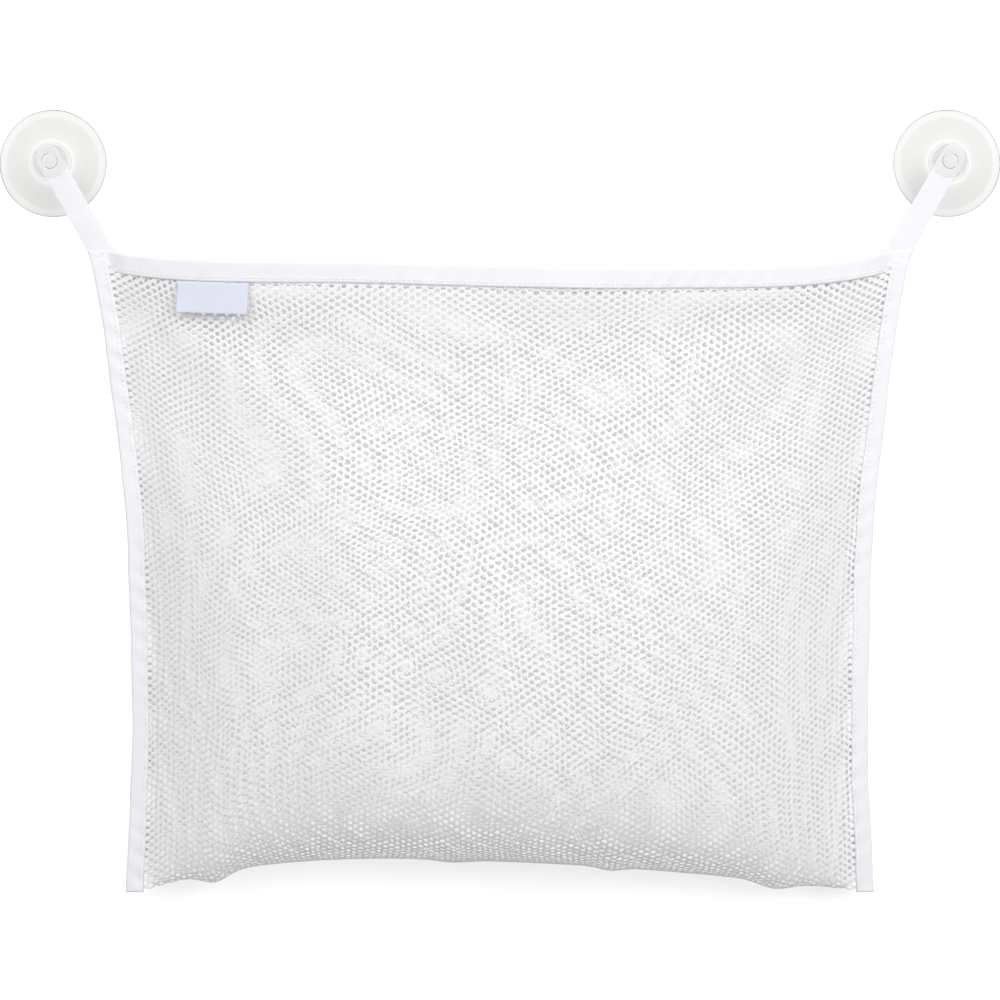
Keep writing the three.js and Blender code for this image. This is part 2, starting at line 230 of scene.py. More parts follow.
front_panel = panel(front_line, 1, RIPPLE_DEPTH, SLACK_DEPTH)
back_panel = panel(back_line, -1, 0, -SLACK_DEPTH / 2)
columns = round(row_length(front_panel) / CELL_WIDTH)
front_rows = round(column_length(front_panel) / CELL_HEIGHT)
back_rows = round(column_length(back_panel) / CELL_HEIGHT)


def laid_out(points, rows):
    """A panel's points at the corners of its cells."""
    down = spread_evenly(points, rows + 1)
    return spread_evenly(down.transpose(1, 0, 2), columns + 1).transpose(1, 0, 2)


net_form = np.vstack([laid_out(front_panel, front_rows), laid_out(back_panel, back_rows)[1:]])
net_outward = np.cross(np.gradient(net_form, axis=0), np.gradient(net_form, axis=1))
net_outward /= np.linalg.norm(net_outward, axis=2)[:, :, None]


def on_form(grid, u, v):
    """Values of a grid at places between its points: u counts columns and v counts rows."""
    column = np.clip(u.astype(int), 0, grid.shape[1] - 2)
    row = np.clip(v.astype(int), 0, grid.shape[0] - 2)
    s = (u - column)[..., None]
    t = (v - row)[..., None]
    upper = grid[row, column] * (1 - s) + grid[row, column + 1] * s
    lower = grid[row + 1, column] * (1 - s) + grid[row + 1, column + 1] * s
    return upper * (1 - t) + lower * t


def pulled(u, v):
    """Places in the net after its uneven pull, which bends the rows and varies the holes a little."""
    a = 2 * np.pi * u / columns
    b = 2 * np.pi * v / (front_rows + back_rows)
    hold = fade(a / np.pi - 1, 4) * fade(b / np.pi - 1, 12)
    slow_u = np.sin(1.3 * a + 4.2 * b + 0.4) + 0.6 * np.sin(2.7 * a - 6.8 * b + 1.9)
    slow_v = np.sin(1.9 * a + 2.4 * b + 2.6) + 0.6 * np.sin(3.3 * a + 5.8 * b + 0.8)
    fine_u = np.sin(5.1 * u + 3.3 * v) + np.sin(2.3 * u - 4.7 * v)
    fine_v = np.sin(3.9 * u - 2.9 * v) + np.sin(4.3 * u + 5.3 * v)
    u_shift = SLOW_PULL * slow_u + FINE_PULL * fine_u
    v_shift = SLOW_PULL * slow_v + FINE_PULL * fine_v
    return u + hold * u_shift, v + hold * v_shift


def new_piece(name, points, faces, face_uv=None):
    """A smooth mesh piece at the origin. face_uv holds a place on the flat cloth for each face corner."""
    mesh = bpy.data.meshes.new(name)
    mesh.from_pydata(np.asarray(points).tolist(), [], faces)
    if face_uv is not None:
        layer = mesh.uv_layers.new(name="cloth")
        layer.data.foreach_set("uv", np.asarray(face_uv, dtype=np.float32).ravel())
    mesh.shade_smooth()
    piece = bpy.data.objects.new(name, mesh)
    bpy.context.scene.collection.objects.link(piece)
    return piece


def select_only(piece):
    bpy.ops.object.select_all(action="DESELECT")
    bpy.context.view_layer.objects.active = piece
    piece.select_set(True)


def shade_by_angle(piece, degrees):
    """Smooth shading with hard edges where faces meet at more than an angle."""
    select_only(piece)
    bpy.ops.object.shade_smooth_by_angle(angle=math.radians(degrees))
    piece.select_set(False)


# The corners of one cell, in steps of a third of a column and half a row.
HEXAGON = np.array([(2, 0), (1, 1), (-1, 1), (-2, 0), (-1, -1), (1, -1)])
HOLE_SHARE = np.array([HOLE_WIDTH / (CELL_WIDTH * 4 / 3), HOLE_HEIGHT / CELL_HEIGHT])


def knitted_net(name, column_range, row_range):
    """Strands round every hole in a range of cells, thick in the middle and thin at the holes."""
    i, j = np.meshgrid(np.arange(*column_range), np.arange(*row_range), indexing="ij")
    i, j = i.ravel(), j.ravel()
    centres = np.stack([3 * i, 2 * j + i % 2], axis=1)
    corners = centres[:, None] + HEXAGON
    knots, knot_of = np.unique(corners.reshape(-1, 2), axis=0, return_inverse=True)
    knot_of = knot_of.reshape(-1, 6)
    rims = (centres[:, None] + HEXAGON * HOLE_SHARE).reshape(-1, 2)
    places = np.vstack([knots, knots, rims]).astype(float)
    u = (places[:, 0] + 2) / 3 * columns / (columns + 1 / 3)
    v = (places[:, 1] + 1) / 2
    thickness = np.zeros(len(places))
    thickness[: len(knots)] = STRAND_THICKNESS / 2
    thickness[len(knots) : 2 * len(knots)] = -STRAND_THICKNESS / 2
    at = pulled(u, v)
    points = on_form(net_form, *at) + on_form(net_outward, *at) * thickness[:, None]

    front = knot_of
    back = knot_of + len(knots)
    rim = 2 * len(knots) + np.arange(len(rims)).reshape(-1, 6)
    next_front, next_back, next_rim = (np.roll(index, -1, axis=1) for index in (front, back, rim))
    faces = [
        np.stack([front, rim, next_rim, next_front], axis=2).reshape(-1, 4),
        np.stack([back, next_back, next_rim, rim], axis=2).reshape(-1, 4),
    ]
    edges = np.stack([front, next_front], axis=2).reshape(-1, 2)
    _, first, count = np.unique(np.sort(edges, axis=1), axis=0, return_index=True, return_counts=True)
    outer = edges[first[count == 1]]
    a, b = outer[:, 0], outer[:, 1]
    faces.append(np.stack([a, b, b + len(knots), a + len(knots)], axis=1))
    faces = np.vstack(faces)
    flat = np.stack([u * CELL_WIDTH, v * CELL_HEIGHT], axis=1)
    net = new_piece(name, points, faces.tolist(), flat[faces])
    shade_by_angle(net, NET_CREASE)
    return net


def new_material(name):
    material = bpy.data.materials.new(name)
    material.use_nodes = True
    return material, material.node_tree, material.node_tree.nodes["Principled BSDF"]


def add_node(tree, kind, settings=None, values=None, links=None):
    """A shader node with its settings, socket values and links into it from other nodes' outputs."""
    node = tree.nodes.new(kind)
    for key, value in (settings or {}).items():
        setattr(node, key, value)
    for key, value in (values or {}).items():
        node.inputs[key].default_value = value
    for key, output in (links or {}).items():
        tree.links.new(output, node.inputs[key])
    return node


def math_node(tree, operation, *inputs):
    """What a math node gives for inputs that are numbers or other nodes' outputs."""
    node = add_node(tree, "ShaderNodeMath", {"operation": operation})
    for socket, value in zip(node.inputs, inputs):
        if isinstance(value, bpy.types.NodeSocket):
            tree.links.new(value, socket)
        else:
            socket.default_value = value
    return node.outputs["Value"]


def noise(tree, place, scale, detail):
    node = add_node(tree, "ShaderNodeTexNoise", None, {"Scale": scale, "Detail": detail}, {"Vector": place})
    return node.outputs["Fac"]


def ranged(tree, value, low, high):
    node = add_node(tree, "ShaderNodeMapRange", None, {"To Min": low, "To Max": high}, {"Value": value})
    return node.outputs["Result"]


def between(tree, share, dark, light):
    """A colour between two others."""
    node = add_node(tree, "ShaderNodeMix", {"data_type": "RGBA"}, None, {"Factor": share})
    node.inputs["A"].default_value = (*dark, 1)
    node.inputs["B"].default_value = (*light, 1)
    return node.outputs["Result"]


def relief(tree, height, strength, depth):
    values = {"Strength": strength, "Distance": depth}
    node = add_node(tree, "ShaderNodeBump", None, values, {"Height": height})
    return node.outputs["Normal"]


def dress(tree, surface, links, values):
    """Links and plain values for a material's surface."""
    for key, output in links.items():
        tree.links.new(output, surface.inputs[key])
    for key, value in values.items():
        surface.inputs[key].default_value = value


def knit_yarn():
    material, tree, surface = new_material("white_knit_yarn")
    place = add_node(tree, "ShaderNodeUVMap", {"uv_map": "cloth"}).outputs["UV"]
    loops = add_node(
        tree,
        "ShaderNodeTexVoronoi",
        {"feature": "SMOOTH_F1"},
        {"Scale": 2600.0, "Smoothness": 0.6},
        {"Vector": place},
    ).outputs["Distance"]
    links = {
        "Base Color": between(tree, noise(tree, place, 60.0, 4.0), YARN_DARK, YARN_LIGHT),
        "Roughness": ranged(tree, loops, 0.5, 0.75),
        "Normal": relief(tree, loops, 0.5, 0.00012),
    }
    dress(tree, surface, links, {"Sheen Weight": 0.2, "Sheen Roughness": 0.5})
    return material


net_yarn = knit_yarn()
half = columns // 2
for name, row_range in (("front", (0, front_rows)), ("back", (front_rows, front_rows + back_rows))):
    for side, column_range in (("left", (0, half)), ("right", (half, columns))):
        net = knitted_net(f"{name}_net_{side}_half", column_range, row_range)
        net.data.materials.append(net_yarn)
        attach(net, "bag")
        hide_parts(f"{name}_net")
        width = (column_range[1] - column_range[0]) * CELL_WIDTH
        length = (row_range[1] - row_range[0]) * CELL_HEIGHT
        (1 - HOLE_SHARE.prod()) * width * length


# The hems. White woven tape folded in half over the top edge of the front and of the back net, and
# sewn through with one row of stitches. The tape waves a little where the net pulls on it.
HEMS = (("front", MOUTH_BOW, 1), ("back", 0.0, -1))
HEM_THICKNESS = 0.0023
HEM_TUCK = 0.003
HEM_END_THICKNESS = 0.0009
HEM_END_LAYER = 0.0005
STITCH_INSET = 0.0022
STITCH_PITCH = 0.003
STITCH_PINCH = 0.00012
TAPE_STEP = 0.001
PUCKER_PITCH = 0.0125
PUCKER_DEPTH = 0.00034
TUCK_SPAN = (0.955, 0.995)
HEM_WAVE = 0.0004
EDGE_WAVE = 0.0003
PINCH_REACH = 0.0015
TAPE_DARK = (0.86, 0.86, 0.90)
TAPE_LIGHT = (0.94, 0.94, 0.97)


def wobble(along, seed):
    """A slow uneven wave along a seam, between about -1 and 1."""
    turns = [(29, 0.3), (67, 1.7), (151, 4.1)]
    return sum(np.sin(turn * along + phase * seed) * 29 / turn for turn, phase in turns) / 1.6


def puckers(along, back, seed):
    """Slanting soft waves that the tight thread leaves in a tape, between about -1 and 1."""
    turn = 2 * np.pi * (along + 0.7 * back) / PUCKER_PITCH
    uneven = 0.65 + 0.35 * np.sin(43 * along + 1.9 * seed)
    return uneven * np.sin(turn + 1.8 * np.sin(19 * along + seed))


def folded_section(width):
    """A tape folded in half, as a closed line: a unit through its thickness, and its distance back
    from the fold. The fold is round, and each leg has points close enough to follow the stitches."""
    inside = 1 - 2 * TAPE_THICKNESS / HEM_THICKNESS
    bend = HEM_THICKNESS / 2
    angles = np.linspace(0, np.pi, 9)
    outer_bend = np.stack([np.cos(angles), bend * (1 - np.sin(angles))], axis=1)
    inner_rise = TAPE_THICKNESS + (bend - TAPE_THICKNESS) * (1 - np.sin(angles))
    inner_bend = np.stack([inside * np.cos(angles), inner_rise], axis=1)
    leg = np.linspace(bend, width, 9)[1:]
    edge = TAPE_THICKNESS / 4
    middle = (1 + inside) / 2
    down = np.concatenate([leg[:-1], [width - edge]])
    outside_leg = np.stack([np.ones(len(down)), down], axis=1)
    inside_leg = np.stack([np.full(len(down), inside), down], axis=1)
    right = np.vstack([outside_leg, [(middle, width)], inside_leg[::-1]])
    left = right[::-1] * (-1, 1)
    return np.vstack([outer_bend[::-1], right, inner_bend, left])


def distances(line):
    """How far along a line of points each of them is."""
    steps = np.linalg.norm(np.diff(line, axis=0), axis=1)
    return np.concatenate([[0], np.cumsum(steps)])


def pinch(back, width, along):
    """How far the stitches draw in a tape of some width, at distances back from its fold."""
    near_seam = np.exp(-(((back - width + STITCH_INSET) / PINCH_REACH) ** 2))
    return STITCH_PINCH * near_seam * (0.5 + 0.5 * np.cos(2 * np.pi * along / STITCH_PITCH))


def face_outwards(piece):
    select_only(piece)
    bpy.ops.object.mode_set(mode="EDIT")
    bpy.ops.mesh.select_all(action="SELECT")
    bpy.ops.mesh.normals_make_consistent(inside=False)
    bpy.ops.object.mode_set(mode="OBJECT")
    piece.select_set(False)


def tape_mesh(name, rings):
    """A closed piece through a row of like sections, with its place on the flat tape as its UV map."""
    stations, loop = rings.shape[:2]
    index = np.arange(stations * loop).reshape(stations, loop)
    turned = np.roll(index, -1, axis=1)
    quads = np.stack([index[:-1], index[1:], turned[1:], turned[:-1]], axis=2).reshape(-1, 4)
    along = distances(rings.mean(axis=1))[:, None]
    section = rings[stations // 2]
    around = distances(np.vstack([section, section[:1]]))
    here = np.stack(np.broadcast_arrays(along, around[:-1]), axis=2)
    beside = np.stack(np.broadcast_arrays(along, around[1:]), axis=2)
    quad_uv = np.stack([here[:-1], here[1:], beside[1:], beside[:-1]], axis=2).reshape(-1, 2)
    ends = [index[0].tolist(), index[-1][::-1].tolist()]
    face_uv = np.vstack([quad_uv, np.zeros((2 * loop, 2))])
    piece = new_piece(name, rings.reshape(-1, 3), quads.tolist() + ends, face_uv)
    face_outwards(piece)
    return piece


def tucked(across):
    """How far a place on a hem has gone under the side tape: 0 in the open, 1 at its ends."""
    return smooth_step(np.abs(across), *TUCK_SPAN)


def hem_half_thickness(across):
    return (HEM_THICKNESS + (HEM_END_THICKNESS - HEM_THICKNESS) * tucked(across)) / 2


def hem_wave(across, drop, side):
    """How far the tape of a hem stands out of its even line."""
    along = across * TOP_WIDTH / 2
    loose = (0.3 + 0.7 * drop / HEM_WIDTH) * (1 - tucked(across))
    return (HEM_WAVE * wobble(along, 2.3 + side) + PUCKER_DEPTH * puckers(along, drop, 4.0 + side)) * loose


def hem_place(across, drop, bow, side):
    """A point of a hem's middle line and the direction out of its face, seen from above."""
    z = top_edge(across) - drop
    half_row = net_half_width(z)
    layer = LAYER_AT_CORNER + (HEM_END_LAYER - LAYER_AT_CORNER) * tucked(across)

    def middle(place):
        y = SEAM_PLANE - side * layer - bow * fade(place, FULLNESS)
        return np.stack([place * half_row, y], axis=-1)

    step = 0.01
    run = middle(across + step) - middle(across - step)
    run /= np.linalg.norm(run, axis=-1)[..., None]
    outward = np.stack([run[..., 1], -run[..., 0], np.zeros_like(z)], axis=-1)
    plan = middle(across)
    return np.stack([plan[..., 0], plan[..., 1], z], axis=-1), outward


def hem_rings(bow, side):
    section = folded_section(HEM_WIDTH)
    limit = 1 + HEM_TUCK / net_half_width(CORNER_HEIGHT)
    across = np.linspace(-limit, limit, round(TOP_WIDTH / TAPE_STEP))[:, None]
    along = across * TOP_WIDTH / 2
    drop = section[:, 1] + np.zeros_like(across)
    leg_share = section[:, 1] / HEM_WIDTH
    drop += EDGE_WAVE * wobble(along, 1.0 + side) * leg_share
    place, outward = hem_place(across + np.zeros_like(drop), drop, bow, side)
    half_thickness = hem_half_thickness(across) - pinch(section[:, 1], HEM_WIDTH, along)
    through = section[:, 0] * half_thickness + hem_wave(across, drop, side)
    return place + outward * through[..., None]


def cloth_grain_group():
    """Threads over and under each other, with loose fibres, on a flat place in metres."""
    group = bpy.data.node_groups.new("cloth_grain", "ShaderNodeTree")
    group.interface.new_socket("Place", in_out="INPUT", socket_type="NodeSocketVector")
    group.interface.new_socket("Threads per metre", in_out="INPUT", socket_type="NodeSocketFloat")
    group.interface.new_socket("Height", in_out="OUTPUT", socket_type="NodeSocketFloat")
    group.interface.new_socket("Tone", in_out="OUTPUT", socket_type="NodeSocketFloat")
    start = add_node(group, "NodeGroupInput")
    end = add_node(group, "NodeGroupOutput")
    place = start.outputs["Place"]
    fibres = noise(group, place, 900.0, 3.0)
    turns = math_node(group, "MULTIPLY", start.outputs["Threads per metre"], 2 * math.pi)
    scaled = add_node(
        group, "ShaderNodeVectorMath", {"operation": "SCALE"}, None, {"Vector": place, "Scale": turns}
    )
    split = add_node(group, "ShaderNodeSeparateXYZ", None, None, {"Vector": scaled.outputs["Vector"]})
    warp = math_node(group, "SINE", split.outputs["X"])
    weft = math_node(group, "SINE", split.outputs["Y"])
    crossing = math_node(group, "MULTIPLY", warp, weft)
    height = math_node(group, "MULTIPLY_ADD", crossing, 0.35, fibres)
    group.links.new(height, end.inputs["Height"])
    group.links.new(noise(group, place, 45.0, 5.0), end.inputs["Tone"])
    return group


cloth_grain = cloth_grain_group()


def woven(name, dark, light, threads, depth, roughness):
    """A woven cloth finish between two colours."""
    material, tree, surface = new_material(name)
    cloth = add_node(tree, "ShaderNodeUVMap", {"uv_map": "cloth"})
    grain = add_node(
        tree,
        "ShaderNodeGroup",
        {"node_tree": cloth_grain},
        {"Threads per metre": threads},
        {"Place": cloth.outputs["UV"]},
    )
    links = {
        "Base Color": between(tree, grain.outputs["Tone"], dark, light),
        "Roughness": ranged(tree, grain.outputs["Tone"], *roughness),
        "Normal": relief(tree, grain.outputs["Height"], 0.6, depth),
    }
    dress(tree, surface, links, {"Sheen Weight": 0.15, "Sheen Roughness": 0.5})
    return material


white_tape = woven("white_woven_tape", TAPE_DARK, TAPE_LIGHT, 1700.0, 0.00008, (0.6, 0.8))


for name, bow, side in HEMS:
    hem = tape_mesh(f"{name}_hem_tape", hem_rings(bow, side))
    hem.data.materials.append(white_tape)
    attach(hem, "bag")
    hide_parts(f"{name}_hem")


# The stitches. White spun thread in short lockstitches, lying on the outer and inner faces of every
# taped edge and drawn a little into the tape at both ends of each stitch.
STITCH_LENGTH = 0.0025
THREAD_DIAMETER = 0.0006
STITCH_BEND = THREAD_DIAMETER * 0.7
STITCH_LIFT = THREAD_DIAMETER * 0.1
SEAM_POINTS = 400
# Painted shade: the thread's darker colour goes into the grooves of its twist.
THREAD_GROOVE_SHADE = (0.88, 0.88, 0.91)
THREAD_LIGHT = (0.95, 0.95, 0.97)


def one_stitch():
    """A single stitch along X, lying on the plane z = 0 and bent down at its ends."""
    bpy.ops.mesh.primitive_uv_sphere_add(segments=8, ring_count=6, radius=0.5, rotation=(0, math.pi / 2, 0))
    stitch = bpy.context.object
    stitch.scale = (THREAD_DIAMETER, THREAD_DIAMETER, STITCH_LENGTH)
    bpy.ops.object.transform_apply(location=True, rotation=True, scale=True)
    points = np.array([vertex.co for vertex in stitch.data.vertices])
    points[:, 2] -= STITCH_BEND * (2 * points[:, 0] / STITCH_LENGTH) ** 2
    faces = [list(face.vertices) for face in stitch.data.polygons]
    bpy.data.objects.remove(stitch)
    return points, faces


stitch_points, stitch_faces = one_stitch()
stitch_uv = stitch_points[[corner for face in stitch_faces for corner in face], :2]


def sewn(name, node, stitches):
    """A piece of thread from the points of each of its stitches."""
    starts = range(0, len(stitches) * len(stitch_points), len(stitch_points))
    faces = [[corner + start for corner in face] for start in starts for face in stitch_faces]
    piece = new_piece(name, stitches.reshape(-1, 3), faces, np.tile(stitch_uv, (len(stitches), 1)))
    piece.data.materials.append(white_thread)
    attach(piece, "bag")
    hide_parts(node)


def stitch_row(name, line, outward, node):
    """Stitches along a line of points, on the side that outward points to."""
    along = distances(line)
    count = int(along[-1] / STITCH_PITCH)
    at = (np.arange(count) + 0.5) * along[-1] / count

    def spread(values, where):
        return np.stack([np.interp(where, along, values[:, k]) for k in range(3)], axis=1)

    places = spread(line, at)
    up = spread(outward, at)
    run = places - spread(line, at - 1e-4)
    run /= np.linalg.norm(run, axis=1)[:, None]
    up -= run * (up * run).sum(axis=1)[:, None]
    up /= np.linalg.norm(up, axis=1)[:, None]
    basis = np.stack([run, np.cross(up, run), up], axis=1)
    sewn(name, node, places[:, None] + stitch_points @ basis)


def spun_thread():
    material, tree, surface = new_material("white_spun_thread")
    cloth = add_node(tree, "ShaderNodeUVMap", {"uv_map": "cloth"})
    turned = add_node(
        tree,
        "ShaderNodeMapping",
        None,
        {"Rotation": (0, 0, math.radians(35))},
        {"Vector": cloth.outputs["UV"]},
    )
    twist = add_node(
        tree,
        "ShaderNodeTexWave",
        {"wave_profile": "SIN"},
        {"Scale": 900.0, "Distortion": 1.0, "Detail": 1.0},
        {"Vector": turned.outputs["Vector"]},
    ).outputs["Fac"]
    # The colour follows the twist's relief, so the grooves get painted shade and the ridges the lighter
    # colour.
    links = {
        "Base Color": between(tree, twist, THREAD_GROOVE_SHADE, THREAD_LIGHT),
        "Normal": relief(tree, twist, 0.5, 0.0001),
    }
    dress(tree, surface, links, {"Roughness": 0.55, "Sheen Weight": 0.2})
    return material


white_thread = spun_thread()


def hem_seam(bow, side, face):
    limit = 1 - 2 * STITCH_INSET / net_half_width(CORNER_HEIGHT)
    across = np.linspace(-limit, limit, SEAM_POINTS)
    drop = np.full_like(across, HEM_WIDTH - STITCH_INSET)
    place, outward = hem_place(across, drop, bow, side)
    through = hem_wave(across, drop, side) + face * (hem_half_thickness(across) + STITCH_LIFT)
    return place + outward * through[:, None], face * outward


for name, bow, side in HEMS:
    for face_name, face in (("outer", side), ("inner", -side)):
        line, outward = hem_seam(bow, side, face)
        stitch_row(f"{name}_hem_{face_name}_stitches", line, outward, f"{name}_hem_{face_name}_thread")


# The side tapes. The same woven tape folded over the side edges of both nets, closing the bag, and
# sewn through from front to back. Each is cut square below the bottom fold.
SIDES = (("left", -1), ("right", 1))
CORNER_EASE = 0.0008
CORNER_THICKNESS = 0.0032
CORNER_END = 0.0019
CORNER_SPAN = (0.05, 0.015)
PRESSED_SPAN = (0.010, 0.001)
SIDE_PLAY = 0.0004
SIDE_WAVE = 0.0003
SIDE_WAVE_SPAN = (0.005, 0.03)
SIDE_WANDER = 0.0006
SIDE_WANDER_SPAN = (0.01, 0.05)
SEAM_TOP_GAP = 0.005
SEAM_BOTTOM_GAP = 0.002
# The strap's straight edges, which the tape's outer edge runs into at the corner.
STRAP_WIDTH = 0.013
EYE_RADIUS = 0.00655
EYE_CENTRE = np.array([frame["joints"][1]["pos_m"][0], 0.0])
STRAP_END = np.array([(TOP_WIDTH - STRAP_WIDTH) / 2, CORNER_HEIGHT])


def strap_line(edge):
    """The straight edge of the right strap, as x at a height: 1 is the outer edge and -1 the inner."""
    axis = STRAP_END - EYE_CENTRE
    axis /= np.linalg.norm(axis)
    across = np.array([-axis[1], axis[0]])
    start = EYE_CENTRE + across * edge * EYE_RADIUS
    end = STRAP_END + across * edge * STRAP_WIDTH / 2
    return lambda z: start[0] + (z - start[1]) * (end[0] - start[0]) / (end[1] - start[1])


strap_outer = strap_line(1)
strap_inner = strap_line(-1)


def taped_edge(z):
    """The outer edge of strap and side tape, which run into each other in a smooth bend."""
    tape = half_width(z)
    strap = strap_outer(z)
    return (tape + strap) / 2 + np.hypot((tape - strap) / 2, CORNER_EASE)


def side_thickness(z):
    below = 2 * LAYER_BELOW + STRAND_THICKNESS + 2 * TAPE_THICKNESS + SIDE_PLAY
    corner = near_corner(z, *CORNER_SPAN)
    pressed = near_corner(z, *PRESSED_SPAN)
    return below + (CORNER_THICKNESS - below) * corner + (CORNER_END - CORNER_THICKNESS) * pressed


def side_wave(z, back, side):
    """How far the tape of a side stands out of its even line."""
    loose = (0.3 + 0.7 * back / SIDE_TAPE_WIDTH) * smooth_step(CORNER_HEIGHT - z, *SIDE_WAVE_SPAN)
    return (SIDE_WAVE * wobble(z, 5.2 + side) + PUCKER_DEPTH * puckers(z, back, 1.0 + side)) * loose


def side_edge(z, side):
    """The fold of a side tape, which wanders a little from an even line below the corner."""
    loose = smooth_step(CORNER_HEIGHT - z, *SIDE_WANDER_SPAN)
    return taped_edge(z) + SIDE_WANDER * loose * wobble(1.7 * z, 6.4 + side)


def side_rings(side):
    section = folded_section(SIDE_TAPE_WIDTH)
    z = np.linspace(CORNER_HEIGHT, SIDE_BOTTOM, round(SIDE_HEIGHT / TAPE_STEP))[:, None]
    leg_share = section[:, 1] / SIDE_TAPE_WIDTH
    back = section[:, 1] + EDGE_WAVE * wobble(z, 3.1 + side) * leg_share
    half_thickness = side_thickness(z) / 2 - pinch(section[:, 1], SIDE_TAPE_WIDTH, z)
    through = section[:, 0] * half_thickness + side_wave(z, back, side)
    x = side * (side_edge(z, side) - back)
    return np.stack([x, SEAM_PLANE + through, z + np.zeros_like(x)], axis=2)


def side_seam(side, face):
    z = np.linspace(CORNER_HEIGHT - SEAM_TOP_GAP, SIDE_BOTTOM + SEAM_BOTTOM_GAP, SEAM_POINTS)
    back = SIDE_TAPE_WIDTH - STITCH_INSET
    x = side * (side_edge(z, side) - back)
    y = SEAM_PLANE + side_wave(z, back, side) + face * (side_thickness(z) / 2 + STITCH_LIFT)
    outward = np.zeros((len(z), 3))
    outward[:, 1] = face
    return np.stack([x, y, z], axis=1), outward


for name, side in SIDES:
    tape = tape_mesh(f"{name}_side_binding", side_rings(side))
    tape.data.materials.append(white_tape)
    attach(tape, "bag")
    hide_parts(f"{name}_side_tape")
    for face_name, face in (("front", -1), ("back", 1)):
        line, outward = side_seam(side, face)
        stitch_row(f"{name}_side_{face_name}_stitches", line, outward, f"{name}_side_{face_name}_thread")


# The straps. Woven tape doubled and pressed flat, with an eye at the top that buttons over the neck
# of the cup. The tail is caught in the corner of the bag, inside the side tape.
eye_low, eye_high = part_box("right_strap_eye")
STRAP_THICKNESS = eye_high.y - eye_low.y
STRAP_MIDDLE = (eye_high.y + eye_low.y) / 2
EYE_HOLE_RADIUS = 0.00435
STRAP_TAIL = 0.012
TAIL_INSET = 0.0012
EYE_REACH = 0.0026
WEB_RADIUS = 0.003
WEB_TUCK = 0.003
EDGE_ROUND = 0.0005
FOLD_HEIGHT = frame["joints"][2]["pos_m"][2]
MOUTH_GAP = 0.0003
INNER_TOP = -0.002
OUTER_TOP = -0.005
WEB_START = 0.002
WEB_END = 0.001
TAIL_SHOULDER = 0.003
CUT_COUNT = 24


def strap_outline():
    """The outline of the right strap, seen from the front, anticlockwise from the top of its eye."""
    axis = STRAP_END - EYE_CENTRE
    turn = math.atan2(axis[0], -axis[1])
    angles = np.linspace(turn, turn + np.pi, 25)
    end_centre = EYE_CENTRE - EYE_REACH * axis / np.linalg.norm(axis)
    top = end_centre + EYE_RADIUS * np.stack([np.cos(angles), np.sin(angles)], axis=1)
    mouth = CORNER_HEIGHT + MOUTH_GAP
    inner_z = np.linspace(INNER_TOP, mouth + 0.0002, 26)
    web = WEB_RADIUS * np.clip(1 - (inner_z - mouth) / WEB_RADIUS, 0, 1) ** 2
    inner = np.stack([strap_inner(inner_z) - web, inner_z], axis=1)
    under_x = np.linspace(inner[-1, 0] - WEB_START, net_half_width(mouth) - WEB_END, 5)
    under = np.stack([under_x, top_edge(under_x / net_half_width(mouth)) - WEB_TUCK], axis=1)
    tail_end = CORNER_HEIGHT - STRAP_TAIL
    tail = np.array([
        (net_half_width(tail_end) + TAIL_INSET, tail_end),
        (half_width(tail_end) - TAIL_INSET, tail_end),
        (half_width(mouth - TAIL_SHOULDER) - TAIL_INSET, mouth - TAIL_SHOULDER),
    ])
    outer_z = np.linspace(mouth, OUTER_TOP, 22)
    outer = np.stack([taped_edge(outer_z), outer_z], axis=1)
    return np.vstack([top, inner, under, tail, outer])


def strap_piece(name, side):
    """The flat strap, filled and cut across many times so that it can bend, then given its thickness."""
    outline = strap_outline()
    angles = np.linspace(0, 2 * np.pi, 32, endpoint=False)
    hole = EYE_CENTRE + EYE_HOLE_RADIUS * np.stack([np.cos(angles), np.sin(angles)], axis=1)
    flat = np.vstack([outline, hole])
    points = np.stack([side * flat[:, 0], np.full(len(flat), STRAP_MIDDLE), flat[:, 1]], axis=1)
    rim = np.arange(len(outline))
    ring = len(outline) + np.arange(len(hole))
    edges = np.vstack([np.stack([loop, np.roll(loop, -1)], axis=1) for loop in (rim, ring)])
    mesh = bpy.data.meshes.new(name)
    mesh.from_pydata(points.tolist(), edges.tolist(), [])
    strap = bpy.data.objects.new(name, mesh)
    bpy.context.scene.collection.objects.link(strap)
    select_only(strap)
    bpy.ops.object.mode_set(mode="EDIT")
    bpy.ops.mesh.select_all(action="SELECT")
    bpy.ops.mesh.fill()
    for height in np.linspace(FOLD_HEIGHT + 0.006, CORNER_HEIGHT + 0.002, CUT_COUNT):
        bpy.ops.mesh.select_all(action="SELECT")
        bpy.ops.mesh.bisect(plane_co=(0, 0, height), plane_no=(0, 0, 1))
    bpy.ops.object.mode_set(mode="OBJECT")
    face_outwards(strap)
    thick = strap.modifiers.new("thickness", "SOLIDIFY")
    thick.thickness = STRAP_THICKNESS
    thick.offset = 0
    soft = strap.modifiers.new("round_edges", "BEVEL")
    soft.width = EDGE_ROUND
    soft.segments = 2
    soft.limit_method = "ANGLE"
    soft.angle_limit = math.radians(40)
    for modifier in ("thickness", "round_edges"):
        bpy.ops.object.modifier_apply(modifier=modifier)
    shade_by_angle(strap, 50)
    axis = (STRAP_END - EYE_CENTRE) * (side, 1)
    axis /= np.linalg.norm(axis)
    places = np.array([strap.data.vertices[loop.vertex_index].co for loop in strap.data.loops])
    plan = places[:, [0, 2]]
    uv = np.stack([plan @ axis, plan @ (axis[1], -axis[0]) + places[:, 1]], axis=1)
    layer = strap.data.uv_layers.new(name="cloth")
    layer.data.foreach_set("uv", uv.astype(np.float32).ravel())
    return strap


for name, side in SIDES:
    strap = strap_piece(f"{name}_strap_tape", side)
    strap.data.materials.append(white_tape)
    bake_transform(strap)
    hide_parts(f"{name}_strap_eye", f"{name}_strap")


